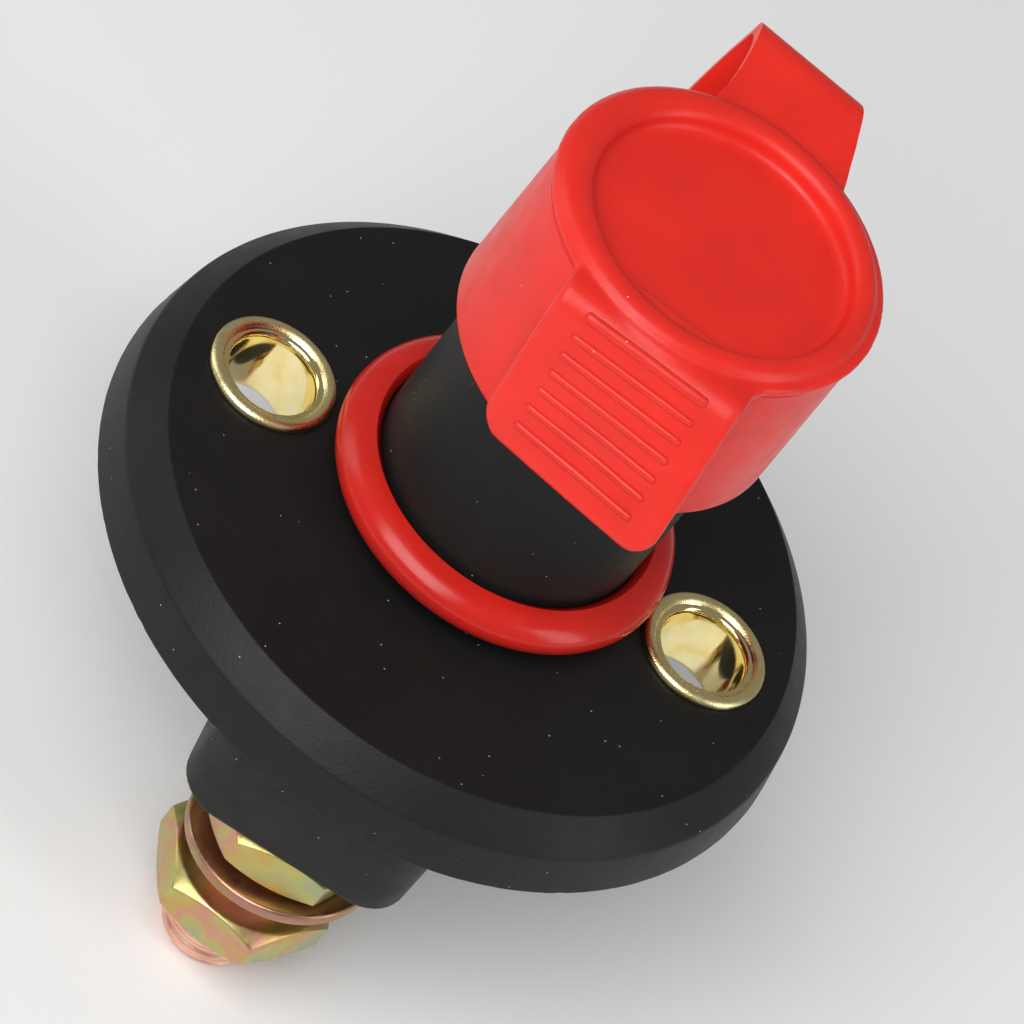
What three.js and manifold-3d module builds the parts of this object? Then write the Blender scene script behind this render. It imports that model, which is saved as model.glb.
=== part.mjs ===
// Panel-mounted battery master switch with a soft sealing cap on a tether.
// Millimetres, +Z out of the panel. The origin is the centre of the flange's underside, where the panel's face lies.
// The two mounting eyelets lie on X, the two terminal studs on Y.
import * as THREE from "three";
import { TessellateModifier } from "three/addons/modifiers/TessellateModifier.js";
import { mergeVertices } from "three/addons/utils/BufferGeometryUtils.js";
import Module from "manifold-3d";

const wasm = await Module();
wasm.setup();

// ---- Driving dimensions ----
const FLANGE_R = 38; // skirt at the panel
const SHOULDER_R = 37.1; // where the skirt meets the bevel
const SHOULDER_Z = 4.8;
const FACE_R = 34.2; // flat front face
const FACE_Z = 8;
const RECESS_R = 34.8; // underside recess that takes the contact block's plate
const RECESS_Z = 3.5;
const BARREL_R = 14.3;
const BARREL_TOP = 50;
const BORE_R = 11;
const BORE_TOP = 45.8;
const MOUTH_R = 8;
const EYELET_X = 25; // half the mounting-hole spacing
const EYELET_HOLE_R = 4.6;
const EYELET_TUBE_R = 5.1;
const EYELET_RIM_R = 6.8;
const STUD_Y = 24; // half the terminal spacing
const STUD_R = 5; // M10
const STUD_END = -38.3;
const BLOCK_BOTTOM = -13.7;
const BLOCK_TOP_SIZE = [25.2, 66.8];
const BLOCK_BOTTOM_SIZE = [24.8, 66.4];
const BLOCK_CORNER = 5;
const CAVITY_SIZE = [19, 62.5];
const CAVITY_FLOOR = -10;
const HEAD = { side: 13, top: -5 }; // square stud heads, whose tops are the fixed contacts
const NUT = { flats: 17, height: 5, chamferR: 8.2 };
const SEAT_NUT_TOP = -13.95;
const TERMINAL_NUT_TOP = -25.8;
const FLAT_WASHER = { r: 10, holeR: 5.9, thick: 1.6 };
const CAP = { bottomR: 17.2, topR: 16.9, innerR: 14.9, bottom: 34.4, ceiling: 52, brimR: 17.4, brimTop: 55.1 };
const BEAD = { r: 15, half: 1.75, z: 54.4, aside: -0.65 }; // the cap's raised rim stands a little to one side
const CAP_RECESS = { r: 13.6, z: 53.5 };
const CAP_ASIDE = 0.25; // the cap sits loose on the barrel
const CAP_TURN = -5.5; // degrees: the cap is pushed on by hand a little off the terminal line
const TAB = { width: 20.2, length: 20.4, thick: 1.5, corner: 3, root: 14.2, flat: 3, bend: 0.85 };
const TAB_SET = { flare: 18, twist: 0.71, aside: 0.5, lean: 0.076 }; // how the soft tab has settled
const STRAP_THICK = 1.5;
const RING = { innerR: 14.5, r: 18.3, bottom: 9.3, top: 14.5 };
const ROTOR = { r: 10.6, top: 45.5, spigotR: 7.7, spigotTop: 49, camZ: 21.5, hubR: 6 };
const KEY_SLOT = { length: 11.6, width: 5.2, bottom: 35 };
const CAM = { travel: 3, ramp: 100, start: -50 }; // mm per 90 degrees, and the ramp's span in degrees
const PLUNGER = { r: 10.4, bottom: 9.2, top: 14, stem: 7, stemEnd: -5.2, lugTop: 20.9 };
const BRIDGE = { length: 60, width: 14, hubR: 9, bottom: -2.8, thick: 3, hole: 7.8 };
const RETAINER = { r: 6, top: -3.1, thick: 1.2 };
const CONTACT_SPRING = { r: 6.4, topR: 6.4, wire: 0.75, bottom: 0.35, top: 9.05, turns: 4 };
const RETURN_SPRING = { r: 7.4, topR: 5.6, wire: 0.5, bottom: -9.85, top: -4.45, turns: 2.5 };
const SEAL = { z: 41.5, ringR: 10.05, wire: 0.75, grooveR: 9.1, grooveHalf: 1 };

const BLACK = new THREE.MeshStandardMaterial({ color: 0x1d1c1b, roughness: 0.55, metalness: 0 });
const RED = new THREE.MeshStandardMaterial({ color: 0xd8241c, roughness: 0.42, metalness: 0 });
const KEY_RED = new THREE.MeshStandardMaterial({ color: 0xb01c18, roughness: 0.5, metalness: 0 });
const BRASS = new THREE.MeshStandardMaterial({ color: 0xc9a550, roughness: 0.2, metalness: 1 });
const COPPER = new THREE.MeshStandardMaterial({ color: 0xb5714f, roughness: 0.3, metalness: 1 });
const ZINC = new THREE.MeshStandardMaterial({ color: 0xb9a75c, roughness: 0.3, metalness: 1 });
const STEEL = new THREE.MeshStandardMaterial({ color: 0x9a9a96, roughness: 0.3, metalness: 1 });
const RUBBER = new THREE.MeshStandardMaterial({ color: 0x141414, roughness: 0.8, metalness: 0 });

// ---- Shape helpers ----
const rad = THREE.MathUtils.degToRad;
const whole = new THREE.Group();

// A solid of revolution about Z. The [r, z] profile runs up the outside, then down the inside or along the axis.
function lathe(profile, segments = 48) {
  const points = profile.map(([r, z]) => new THREE.Vector2(r, z));
  return new THREE.LatheGeometry(points, segments).rotateX(Math.PI / 2);
}

// A ring of revolution: the profile is closed on itself.
function latheRing(profile, segments = 48) {
  return lathe([...profile, profile[0]], segments);
}

function roundedRectangle(width, length, corner) {
  const shape = new THREE.Shape();
  const x = width / 2 - corner;
  const y = length / 2 - corner;
  shape.absarc(x, y, corner, 0, rad(90));
  shape.absarc(-x, y, corner, rad(90), rad(180));
  shape.absarc(-x, -y, corner, rad(180), rad(270));
  shape.absarc(x, -y, corner, rad(270), rad(360));
  return shape;
}

function extrude(shape, bottom, top, curveSegments = 5) {
  const depth = top - bottom;
  return new THREE.ExtrudeGeometry(shape, { depth, bevelEnabled: false, curveSegments }).translate(0, 0, bottom);
}

function box(width, length, bottom, top, x = 0, y = 0) {
  return new THREE.BoxGeometry(width, length, top - bottom).translate(x, y, (top + bottom) / 2);
}

function cylinder(r, bottom, top, x = 0, y = 0, segments = 24) {
  const upright = new THREE.CylinderGeometry(r, r, top - bottom, segments).rotateX(Math.PI / 2);
  return upright.translate(x, y, (top + bottom) / 2);
}

// A helical spring of round wire about Z, which may be conical.
function spring({ r, topR, wire, bottom, top, turns }) {
  const rise = top - bottom - 2 * wire;
  const points = [];
  const steps = turns * 12;
  for (let i = 0; i <= steps; i++) {
    const part = i / steps;
    const angle = part * turns * 2 * Math.PI;
    const coilR = r + (topR - r) * part;
    points.push(new THREE.Vector3(coilR * Math.cos(angle), coilR * Math.sin(angle), bottom + wire + rise * part));
  }
  const section = new THREE.Shape().absarc(0, 0, wire, 0, 2 * Math.PI);
  const extrudePath = new THREE.CatmullRomCurve3(points);
  return new THREE.ExtrudeGeometry(section, { steps, extrudePath, curveSegments: 3 });
}

// Moves each vertex of a flat piece to where bend(x, y, z) puts it.
function bendBy(geometry, bend) {
  const position = geometry.attributes.position;
  for (let i = 0; i < position.count; i++) {
    const place = bend(position.getX(i), position.getY(i), position.getZ(i));
    position.setXYZ(i, place.x, place.y, place.z);
  }
  return geometry;
}

function solid(geometry) {
  const bare = geometry.clone();
  bare.deleteAttribute("normal");
  bare.deleteAttribute("uv");
  const merged = mergeVertices(bare.index ? bare.toNonIndexed() : bare, 1e-4);
  const vertProperties = new Float32Array(merged.attributes.position.array);
  const triVerts = new Uint32Array(merged.index.array);
  return new wasm.Manifold(new wasm.Mesh({ numProp: 3, vertProperties, triVerts }));
}

function geometryOf(made) {
  const { vertProperties, triVerts } = made.getMesh();
  const geometry = new THREE.BufferGeometry();
  geometry.setAttribute("position", new THREE.BufferAttribute(new Float32Array(vertProperties), 3));
  geometry.setIndex(new THREE.BufferAttribute(new Uint32Array(triVerts), 1));
  geometry.computeVertexNormals();
  return geometry;
}

function cut(base, ...tools) {
  return geometryOf(tools.reduce((left, tool) => left.subtract(solid(tool)), solid(base)));
}

function join(base, ...pieces) {
  return geometryOf(pieces.reduce((sum, piece) => sum.add(solid(piece)), solid(base)));
}

function add(name, geometry, material, group = whole) {
  const mesh = new THREE.Mesh(geometry, material);
  mesh.name = name;
  group.add(mesh);
  return mesh;
}

// ---- Flange housing: round flange, hollow barrel, underside recess ----
function flangeHousing() {
  const shell = latheRing([
    [RECESS_R, 0],
    [FLANGE_R, 0],
    [SHOULDER_R + 0.3, SHOULDER_Z - 1],
    [SHOULDER_R, SHOULDER_Z],
    [SHOULDER_R - 0.6, SHOULDER_Z + 0.9],
    [FACE_R, FACE_Z],
    [BARREL_R, FACE_Z],
    [BARREL_R, BARREL_TOP - 1],
    [BARREL_R - 1, BARREL_TOP],
    [MOUTH_R, BARREL_TOP],
    [MOUTH_R, BORE_TOP],
    [BORE_R, BORE_TOP],
    [BORE_R, RECESS_Z],
    [RECESS_R, RECESS_Z],
  ], 64);
  const holes = [-1, 1].map((side) => cylinder(EYELET_TUBE_R + 0.15, -1, FACE_Z + 1, side * EYELET_X));
  return cut(shell, ...holes);
}

// ---- Contact block: plate in the flange's recess, and the long drafted box that holds the contacts ----
function contactBlock() {
  const plate = cylinder(RECESS_R - 0.3, 0, RECESS_Z - 0.3, 0, 0, 64);
  const outer = extrude(roundedRectangle(...BLOCK_TOP_SIZE, BLOCK_CORNER), BLOCK_BOTTOM, 1);
  const position = outer.attributes.position;
  for (let i = 0; i < position.count; i++) {
    if (position.getZ(i) < 0) {
      position.setX(i, (position.getX(i) * BLOCK_BOTTOM_SIZE[0]) / BLOCK_TOP_SIZE[0]);
      position.setY(i, (position.getY(i) * BLOCK_BOTTOM_SIZE[1]) / BLOCK_TOP_SIZE[1]);
    }
  }
  const cavity = extrude(roundedRectangle(...CAVITY_SIZE, 2), CAVITY_FLOOR, RECESS_Z + 1, 3);
  const studHoles = [-1, 1].map((side) => cylinder(STUD_R + 0.3, BLOCK_BOTTOM - 1, 0, 0, side * STUD_Y, 16));
  const eyeletHoles = [-1, 1].map((side) => cylinder(EYELET_TUBE_R + 0.15, -1, RECESS_Z, side * EYELET_X));
  const counterbores = [-1, 1].map((side) => cylinder(EYELET_RIM_R + 0.1, -1, 1, side * EYELET_X));
  return cut(join(plate, outer), cavity, ...studHoles, ...eyeletHoles, ...counterbores);
}

// ---- Mounting eyelets: brass tubes rolled over at both ends, which rivet the two mouldings together ----
function eyelet(side) {
  return latheRing([
    [EYELET_HOLE_R, 0.55],
    [EYELET_HOLE_R + 0.5, 0.1],
    [EYELET_RIM_R - 0.7, 0.1],
    [EYELET_RIM_R - 0.3, 0.5],
    [EYELET_RIM_R - 0.3, 0.85],
    [EYELET_TUBE_R, 0.85],
    [EYELET_TUBE_R, FACE_Z + 0.1],
    [EYELET_RIM_R, FACE_Z + 0.1],
    [EYELET_RIM_R, FACE_Z + 0.5],
    [EYELET_RIM_R - 0.5, FACE_Z + 0.95],
    [EYELET_HOLE_R + 0.7, FACE_Z + 0.95],
    [EYELET_HOLE_R, FACE_Z + 0.3],
  ], 24).translate(side * EYELET_X, 0, 0);
}

// ---- Terminal hardware, one set at each stud ----
function stud(y) {
  const shank = lathe([
    [0, STUD_END],
    [STUD_R - 0.9, STUD_END],
    [STUD_R, STUD_END + 0.9],
    [STUD_R, CAVITY_FLOOR + 0.1],
    [0, CAVITY_FLOOR + 0.1],
  ], 16);
  const head = extrude(roundedRectangle(HEAD.side, HEAD.side, 1), CAVITY_FLOOR + 0.05, HEAD.top, 2);
  return join(shank, head).translate(0, y, 0);
}

// A hexagon nut, chamfered at both ends where a cone meets the corners.
function nut(top, y, turn) {
  const bottom = top - NUT.height;
  const cornerR = NUT.flats / Math.sqrt(3);
  const hexagon = new THREE.CylinderGeometry(cornerR, cornerR, NUT.height, 6).rotateX(Math.PI / 2);
  hexagon.rotateZ(rad(turn)).translate(0, 0, (top + bottom) / 2);
  const drop = (cornerR - NUT.chamferR) * Math.tan(rad(30));
  const cone = lathe([
    [0, bottom],
    [NUT.chamferR, bottom],
    [cornerR + 0.1, bottom + drop],
    [cornerR + 0.1, top - drop],
    [NUT.chamferR, top],
    [0, top],
  ], 24);
  const bore = cylinder(STUD_R + 0.3, bottom - 1, top + 1, 0, 0, 16);
  return geometryOf(solid(hexagon).intersect(solid(cone)).subtract(solid(bore))).translate(0, y, 0);
}

// The washers hang loose on the studs. Each is given by its middle, and its lean towards +X in degrees.
function flatWasher(x, y, z, lean) {
  const { r, holeR, thick } = FLAT_WASHER;
  const half = thick / 2;
  return latheRing([[holeR, -half], [r, -half], [r, half], [holeR, half]], 32).rotateY(rad(-lean))
    .rotateZ(rad(-10)).translate(x, y, z);
}

// ---- Sealing cap with its pull tab ----
// The tab is moulded flat with the brim, and turns down at its root to stand off the wall.
function pullTab() {
  const { width, length, thick, corner, root, flat, bend } = TAB;
  const half = width / 2;
  const outline = new THREE.Shape();
  outline.moveTo(half, 0);
  outline.lineTo(-half, 0);
  outline.absarc(-half + corner, -length + corner, corner, rad(180), rad(270));
  outline.absarc(half - corner, -length + corner, corner, rad(270), rad(360));
  const plate = extrude(outline, -thick / 2, thick / 2, 4);
  const fine = new TessellateModifier(2.6, 8).modify(plate);
  return bendBy(fine, (x, y, z) => {
    const most = rad(90 - TAB_SET.flare - TAB_SET.twist * x);
    const along = -y - flat;
    const turn = Math.min(Math.max(along / bend, 0), most);
    const beyond = Math.max(along - most * bend, 0);
    const out = root + flat + Math.min(along, 0) + (bend + z) * Math.sin(turn) + beyond * Math.cos(turn);
    const up = CAP.brimTop - thick / 2 - bend + (bend + z) * Math.cos(turn) - beyond * Math.sin(turn);
    return new THREE.Vector3(x + TAB_SET.aside + TAB_SET.lean * beyond, -out, up);
  });
}

function sealingCap() {
  const shell = lathe([
    [0, CAP.ceiling],
    [CAP.innerR, CAP.ceiling],
    [CAP.innerR, CAP.bottom],
    [CAP.bottomR, CAP.bottom],
    [CAP.topR, CAP.brimTop - 1.3],
    [CAP.brimR, CAP.brimTop - 1],
    [CAP.brimR, CAP.brimTop - 0.3],
    [CAP.brimR - 0.3, CAP.brimTop],
    [0, CAP.brimTop],
  ]);
  const recess = cylinder(CAP_RECESS.r, CAP_RECESS.z, CAP.brimTop + 2, 0, 0, 48);
  const bead = new THREE.TorusGeometry(BEAD.r, BEAD.half, 12, 48).translate(BEAD.aside, 0, BEAD.z);
  const bore = cylinder(CAP.innerR, CAP.bottom - 1, CAP.ceiling, 0, 0, 48);
  return cut(join(shell, bead, pullTab()), recess, bore).translate(CAP_ASIDE, 0, 0);
}

// ---- Tether strap: leaves the cap's brim, folds over and runs down to the ring ----
function tetherStrap() {
  // The middle line of the strap, its width, and how far its broad side is turned about Z, in degrees.
  const stations = [
    [1.7, 17.85, 54.3, 14.6, 0],
    [1.6, 21.5, 55.2, 13.4, -2],
    [1.15, 24.7, 56, 12.6, -4],
    [0.8, 26.3, 55.2, 12.2, -4.5],
    [0.6, 26.9, 53.2, 12.2, -4.5],
    [0, 27.1, 48.5, 12.2, -3],
    [-0.7, 26.9, 42, 12.2, 0],
    [-1.64, 25.3, 32, 12.2, 6],
    [-2.65, 22.4, 22, 12.2, 12],
    [-3.15, 19.1, 15.8, 12.2, 16],
    [-3.3, 17.45, 14.15, 12.2, 16],
  ];
  const route = new THREE.CatmullRomCurve3(stations.map(([x, y, z]) => new THREE.Vector3(x, y, z)));
  const shape = new THREE.CatmullRomCurve3(stations.map(([, , , w, turn]) => new THREE.Vector3(w, turn, 0)));
  const length = 60;
  const strip = new THREE.BoxGeometry(1, length, STRAP_THICK, 4, 40, 1);
  return bendBy(strip, (x, y, z) => {
    const t = 0.5 - y / length;
    const { x: width, y: turn } = shape.getPoint(t);
    const across = new THREE.Vector3(Math.cos(rad(CAP_TURN + turn)), Math.sin(rad(CAP_TURN + turn)), 0);
    const face = new THREE.Vector3().crossVectors(route.getTangent(t), across).normalize();
    return route.getPoint(t).addScaledVector(across, x * width).addScaledVector(face, z);
  });
}

function tetherRing() {
  const middle = (RING.top + RING.bottom) / 2;
  const half = (RING.top - RING.bottom) / 2;
  const round = [-75, -50, -25, 0, 25, 50, 75].map((angle) => [
    RING.innerR + 0.4 + (RING.r - RING.innerR - 0.4) * Math.cos(rad(angle)),
    middle + half * Math.sin(rad(angle)),
  ]);
  return latheRing([[RING.innerR, middle - half + 0.6], ...round, [RING.innerR, middle + half - 0.6]]);
}

// ---- Key rotor: slotted spigot above, helical cam below ----
// How far the cam's face stands down at an angle: two ramps, each with a short run back.
function camDrop(angle) {
  const local = (((angle - CAM.start) % 180) + 180) % 180;
  const most = (CAM.travel * CAM.ramp) / 90;
  return local <= CAM.ramp ? (most * local) / CAM.ramp : (most * (180 - local)) / (180 - CAM.ramp);
}

function keyRotor() {
  const body = latheRing([
    [ROTOR.hubR, ROTOR.camZ],
    [ROTOR.r, ROTOR.camZ],
    [ROTOR.r, SEAL.z - SEAL.grooveHalf],
    [SEAL.grooveR, SEAL.z - SEAL.grooveHalf],
    [SEAL.grooveR, SEAL.z + SEAL.grooveHalf],
    [ROTOR.r, SEAL.z + SEAL.grooveHalf],
    [ROTOR.r, ROTOR.top],
    [ROTOR.spigotR, ROTOR.top],
    [ROTOR.spigotR, ROTOR.spigotTop],
    [0.5, ROTOR.spigotTop],
    [0.5, KEY_SLOT.bottom - 3],
    [ROTOR.hubR, KEY_SLOT.bottom - 3],
  ], 36);
  const position = body.attributes.position;
  for (let i = 0; i < position.count; i++) {
    if (Math.abs(position.getZ(i) - ROTOR.camZ) < 0.01) {
      const angle = THREE.MathUtils.radToDeg(Math.atan2(position.getY(i), position.getX(i)));
      position.setZ(i, ROTOR.camZ - camDrop(angle));
    }
  }
  const core = cylinder(0.6, KEY_SLOT.bottom - 3, ROTOR.spigotTop, 0, 0, 12);
  const slot = box(KEY_SLOT.width, KEY_SLOT.length, KEY_SLOT.bottom, ROTOR.spigotTop + 1);
  return cut(join(body, core), slot);
}

function rotorSeal() {
  const round = Array.from({ length: 8 }, (_, i) => [
    SEAL.ringR + SEAL.wire * Math.cos((i * Math.PI) / 4),
    SEAL.z + SEAL.wire * Math.sin((i * Math.PI) / 4),
  ]);
  return latheRing(round, 32);
}

// ---- Contact mechanism ----
function camPlunger() {
  const disc = cylinder(PLUNGER.r, PLUNGER.bottom, PLUNGER.top, 0, 0, 32);
  const stem = box(PLUNGER.stem, PLUNGER.stem, PLUNGER.stemEnd, PLUNGER.bottom + 1);
  const lugs = [0, 180].map((angle) => {
    const lug = box(2.6, 1.6, PLUNGER.top - 1, PLUNGER.lugTop, 8.4, 0);
    return lug.rotateZ(rad(angle + CAM.start + 6));
  });
  return join(disc, stem, ...lugs);
}

function contactBridge() {
  const top = BRIDGE.bottom + BRIDGE.thick;
  const bar = extrude(roundedRectangle(BRIDGE.width, BRIDGE.length, 3), BRIDGE.bottom, top, 3);
  const hub = cylinder(BRIDGE.hubR, BRIDGE.bottom, top, 0, 0, 32);
  return cut(join(bar, hub), box(BRIDGE.hole, BRIDGE.hole, BRIDGE.bottom - 1, top + 1));
}

// A push-on clip with a square hole, at the foot of the plunger's stem.
function bridgeRetainer() {
  const bottom = RETAINER.top - RETAINER.thick;
  const disc = cylinder(RETAINER.r, bottom, RETAINER.top, 0, 0, 24);
  return cut(disc, box(PLUNGER.stem + 0.2, PLUNGER.stem + 0.2, bottom - 1, RETAINER.top + 1));
}

// ---- Assembly ----
add("flange_housing", flangeHousing(), BLACK);
add("contact_block", contactBlock(), BLACK);
for (const [place, side] of [["left", -1], ["right", 1]]) {
  add(`mounting_eyelet_${place}`, eyelet(side), BRASS);
}
const TERMINALS = [
  { place: "front", y: -STUD_Y, seatTurn: 35.2, nutTurn: 21.4, washer: [0.7, -21, 8] },
  { place: "rear", y: STUD_Y, seatTurn: 12, nutTurn: 44, washer: [0.2, TERMINAL_NUT_TOP + 1.1, 0] },
];
for (const { place, y, seatTurn, nutTurn, washer } of TERMINALS) {
  const [x, z, lean] = washer;
  add(`terminal_stud_${place}`, stud(y), COPPER);
  add(`seat_nut_${place}`, nut(SEAT_NUT_TOP, y, seatTurn), ZINC);
  add(`flat_washer_${place}`, flatWasher(x, y, z, lean), ZINC);
  add(`terminal_nut_${place}`, nut(TERMINAL_NUT_TOP, y, nutTurn), ZINC);
}
add("key_rotor", keyRotor(), KEY_RED);
add("rotor_seal", rotorSeal(), RUBBER);
add("cam_plunger", camPlunger(), BLACK);
add("contact_bridge", contactBridge(), COPPER);
add("bridge_retainer", bridgeRetainer(), STEEL);
add("contact_spring", spring(CONTACT_SPRING), STEEL);
add("return_spring", spring(RETURN_SPRING), STEEL);
add("sealing_cap", sealingCap().rotateZ(rad(CAP_TURN)), RED);
add("tether_strap", tetherStrap(), RED);
add("tether_ring", tetherRing(), RED);

export default whole;
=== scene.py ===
import math
import random

import bmesh
import bpy
from mathutils import Matrix, Vector


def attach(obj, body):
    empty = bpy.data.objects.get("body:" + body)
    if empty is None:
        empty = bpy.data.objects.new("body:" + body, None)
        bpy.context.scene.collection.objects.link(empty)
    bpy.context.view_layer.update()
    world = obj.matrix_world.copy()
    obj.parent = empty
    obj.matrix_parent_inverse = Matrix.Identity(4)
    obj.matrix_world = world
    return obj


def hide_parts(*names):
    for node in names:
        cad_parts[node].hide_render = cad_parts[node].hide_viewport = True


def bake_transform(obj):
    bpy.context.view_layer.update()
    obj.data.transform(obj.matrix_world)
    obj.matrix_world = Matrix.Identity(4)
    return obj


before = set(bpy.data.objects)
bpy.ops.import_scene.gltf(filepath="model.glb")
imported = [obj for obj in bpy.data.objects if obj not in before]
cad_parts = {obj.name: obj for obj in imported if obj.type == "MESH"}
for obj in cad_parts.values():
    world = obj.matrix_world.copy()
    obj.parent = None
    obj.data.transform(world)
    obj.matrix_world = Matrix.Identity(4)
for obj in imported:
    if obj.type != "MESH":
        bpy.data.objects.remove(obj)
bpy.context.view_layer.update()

MM = 0.001

# ---- Flange housing ----
# One black moulding: the round flange that lies on the panel, with its bevelled edge, and the tall barrel
# that the key turns in. The two screw holes are moulded through the flange, one each side of the barrel.
FLANGE_RIM_R = 38
HOUSING_LINE = [
    # radius, height and corner rounding, up the outside and down the inside
    (34.8, 0, 0.25), (FLANGE_RIM_R, 0, 0.1), (37.2, 4.75, 1.0), (34.2, 8, 0.4), (14.3, 8, 0.5),
    (14.3, 50, 1.1), (8, 50, 0.6), (8, 45.8, 0.2), (11, 45.8, 0.2), (11, 3.5, 0.3), (34.8, 3.5, 0.3),
]
EYELET_X = 25
SCREW_HOLE_R = 5.25
RIM_STEPS = 320
WORN_NICKS = {238: 0.3, 241: 0.22, 245: 0.3, 229: 0.12, 222: 0.15}


def eased(corners, steps=5, closed=True):
    """The points of a line of (r, z, rounding) corners, with an arc in place of each corner."""
    points = []
    count = len(corners)
    for i, (r, z, rounding) in enumerate(corners):
        here = Vector((r, z))
        at_end = not closed and i in (0, count - 1)
        if rounding == 0 or at_end:
            points.append(here)
            continue
        back = Vector(corners[i - 1][:2]) - here
        on = Vector(corners[(i + 1) % count][:2]) - here
        half = back.angle(on) / 2
        reach = min(rounding / math.tan(half), back.length * 0.49, on.length * 0.49)
        start = here + back.normalized() * reach
        end = here + on.normalized() * reach
        for k in range(steps + 1):
            t = k / steps
            points.append(start * (1 - t) ** 2 + here * 2 * t * (1 - t) + end * t * t)
    return points + points[:1] if closed else points


def only(piece):
    bpy.ops.object.select_all(action="DESELECT")
    piece.select_set(True)
    bpy.context.view_layer.objects.active = piece


def turned(name, line, steps=160):
    """A solid of revolution: a point is extruded along the line, which is then spun about Z."""
    bpy.ops.object.select_all(action="DESELECT")
    bpy.ops.mesh.primitive_plane_add(size=MM)
    piece = bpy.context.object
    piece.name = name
    bpy.ops.object.mode_set(mode="EDIT")
    bpy.ops.mesh.select_mode(type="VERT")
    bpy.ops.mesh.select_all(action="SELECT")
    bpy.ops.mesh.merge(type="CENTER")
    bpy.ops.transform.translate(value=(line[0][0] * MM, 0, line[0][1] * MM))
    for here, on in zip(line, line[1:]):
        step = ((on[0] - here[0]) * MM, 0, (on[1] - here[1]) * MM)
        bpy.ops.mesh.extrude_region_move(TRANSFORM_OT_translate={"value": step})
    bpy.ops.mesh.select_all(action="SELECT")
    bpy.ops.mesh.spin(steps=steps, angle=2 * math.pi, center=(0, 0, 0), axis=(0, 0, 1))
    bpy.ops.mesh.select_all(action="SELECT")
    bpy.ops.mesh.remove_doubles(threshold=1e-6)
    bpy.ops.mesh.normals_make_consistent(inside=False)
    bpy.ops.object.mode_set(mode="OBJECT")
    return piece


def settle(piece):
    """Applies every modifier on the piece, in order."""
    only(piece)
    for modifier in list(piece.modifiers):
        bpy.ops.object.modifier_apply(modifier=modifier.name)


def boolean(piece, tool, operation="DIFFERENCE"):
    change = piece.modifiers.new("boolean", "BOOLEAN")
    change.operation = operation
    change.object = tool
    change.solver = "EXACT"
    settle(piece)
    bpy.data.objects.remove(tool)


def rod(r, bottom, top, x=0, y=0, vertices=96):
    """An upright round bar, in millimetres, used to cut a hole."""
    bpy.ops.object.select_all(action="DESELECT")
    middle = (x * MM, y * MM, (bottom + top) / 2 * MM)
    depth = (top - bottom) * MM
    bpy.ops.mesh.primitive_cylinder_add(vertices=vertices, radius=r * MM, depth=depth, location=middle)
    return bpy.context.object


def smooth(piece, angle=32):
    only(piece)
    bpy.ops.object.transform_apply(location=True, rotation=True, scale=True)
    bpy.ops.object.shade_smooth_by_angle(angle=math.radians(angle))


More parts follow.
